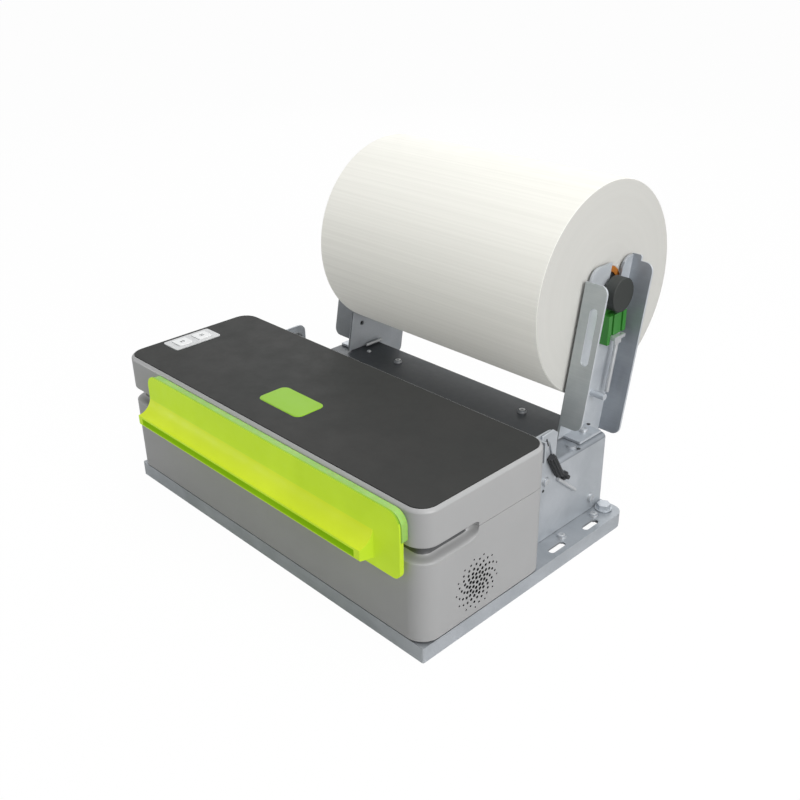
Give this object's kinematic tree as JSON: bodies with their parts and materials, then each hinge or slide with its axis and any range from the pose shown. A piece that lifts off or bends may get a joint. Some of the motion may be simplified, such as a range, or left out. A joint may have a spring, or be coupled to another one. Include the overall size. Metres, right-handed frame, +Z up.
{
  "type": "kiosk printer",
  "caption": "Built-in thermal printer with a hinged lid, a translucent green paper mouth and a leaning steel holder for a large paper roll.",
  "frame": {"origin": "middle of the bounding box's underside, on the surface that the tray stands on", "axes": "+Z up, -Y towards the paper mouth, +X to the right seen from the front"},
  "size_m": [0.311, 0.311, 0.239],
  "materials": {
    "zinc": "zinc plated, satin",
    "steel": "bright",
    "grey_plastic": "fine matt",
    "dark_inlay": "satin",
    "white_plastic": "satin",
    "green_pad": "satin",
    "lime_translucent": "translucent, glossy",
    "pale_green": "translucent",
    "block_green": "moulded",
    "paper": "thermal paper",
    "card": "rolled card",
    "knob_grey": "moulded",
    "rubber": "ground",
    "gear_white": "moulded",
    "circuit_board": "solder mask",
    "aluminium": "extruded",
    "black_plastic": "moulded"
  },
  "bodies": {
    "base": {"base_tray": "zinc", "chassis_cover": "zinc", "chassis_rear": "zinc", "hinge_bracket_left": "zinc", "hinge_bracket_right": "zinc", "roll_arm_left": "zinc", "roll_arm_right": "zinc", "frame_side_left": "zinc", "frame_side_right": "zinc", "frame_tie": "zinc", "paper_guide": "zinc", "hex_bolt_left": "steel", "hex_bolt_right": "steel", "hinge_pin_left": "steel", "hinge_pin_right": "steel", "rest_clip_left": "steel", "rest_clip_right": "steel", "lever_pin": "steel", "lever_link": "steel", "lower_housing": "grey_plastic", "spindle_rest_left": "block_green", "spindle_rest_right": "block_green", "platen_bearing_left": "gear_white", "platen_bearing_right": "gear_white", "main_board": "circuit_board", "near_end_sensor": "black_plastic", "feed_motor": "black_plastic", "cutter_motor": "black_plastic", "power_inlet": "black_plastic", "data_socket": "black_plastic", "fan_frame": "black_plastic"},
    "lid": {"lid_shell": "grey_plastic", "lid_inlay": "dark_inlay", "lid_pad": "green_pad", "key_plate": "white_plastic", "key_board": "circuit_board", "paper_mouth": "lime_translucent", "mouth_light_guide": "pale_green", "hinge_arm_left": "steel", "hinge_arm_right": "steel", "head_bracket": "zinc", "head_pivot": "steel", "fixed_blade": "steel"},
    "key_front": {"key_front": "white_plastic"},
    "key_rear": {"key_rear": "white_plastic"},
    "print_head": {"print_head": "aluminium"},
    "platen": {"platen_shaft": "steel", "platen_roller": "rubber", "platen_gear": "gear_white"},
    "idler": {"idler_gear": "gear_white"},
    "motor_rotor": {"motor_pinion": "steel"},
    "cutter": {"cutter_blade": "steel"},
    "fan": {"fan_rotor": "black_plastic"},
    "release_lever": {"release_lever": "black_plastic"},
    "spindle": {"spindle": "steel", "spindle_knob_left": "knob_grey", "spindle_knob_right": "knob_grey"},
    "roll": {"paper_roll": "paper", "paper_core": "card", "core_sleeve": "black_plastic"}
  },
  "joints": [
    {"name": "lid_hinge", "type": "hinge", "parent": "base", "child": "lid", "pos_m": [0, -0.0089, 0.0887], "axis": [-1, 0, 0], "range_deg": [0, 75]},
    {"name": "key_front_press", "type": "slide", "parent": "lid", "child": "key_front", "axis": [0, 0, -1], "range_m": [0, 0.0008], "stiffness_N_per_m": 800, "springref_m": -0.0008},
    {"name": "key_rear_press", "type": "slide", "parent": "lid", "child": "key_rear", "axis": [0, 0, -1], "range_m": [0, 0.0008], "stiffness_N_per_m": 800, "springref_m": -0.0008},
    {"name": "print_head_hinge", "type": "hinge", "parent": "lid", "child": "print_head", "pos_m": [0.0104, -0.0823, 0.084], "axis": [-1, 0, 0], "range_deg": [0, 3], "stiffness_Nm_per_rad": 20, "springref_deg": -2.86},
    {"name": "platen_spin", "type": "hinge", "parent": "base", "child": "platen", "pos_m": [0.0104, -0.1068, 0.0622], "axis": [1, 0, 0], "continuous": true},
    {"name": "idler_spin", "type": "hinge", "parent": "base", "child": "idler", "pos_m": [0.0104, -0.07898, 0.05096], "axis": [1, 0, 0], "continuous": true},
    {"name": "motor_spin", "type": "hinge", "parent": "base", "child": "motor_rotor", "pos_m": [0.0104, -0.06421, 0.03205], "axis": [1, 0, 0], "continuous": true},
    {"name": "cutter_slide", "type": "slide", "parent": "base", "child": "cutter", "axis": [0, 0, 1], "range_m": [0, 0.0045]},
    {"name": "fan_spin", "type": "hinge", "parent": "base", "child": "fan", "pos_m": [0.143, -0.0908, 0.035], "axis": [1, 0, 0], "continuous": true},
    {"name": "release_lever_hinge", "type": "hinge", "parent": "base", "child": "release_lever", "pos_m": [0.1362, 0.0162, 0.0555], "axis": [-1, 0, 0], "range_deg": [0, 14], "stiffness_Nm_per_rad": 0.3, "springref_deg": -8.59},
    {"name": "roll_lift", "type": "slide", "parent": "base", "child": "spindle", "axis": [0, 0.1908, 0.9816], "range_m": [0, 0.045]},
    {"name": "roll_spin", "type": "hinge", "parent": "spindle", "child": "roll", "pos_m": [0.0104, 0.0807, 0.1642], "axis": [1, 0, 0], "continuous": true}
  ],
  "couplings": [
    {"joint": "idler_spin", "follows": "platen_spin", "ratio": -0.66667},
    {"joint": "motor_spin", "follows": "platen_spin", "ratio": 2}
  ]
}
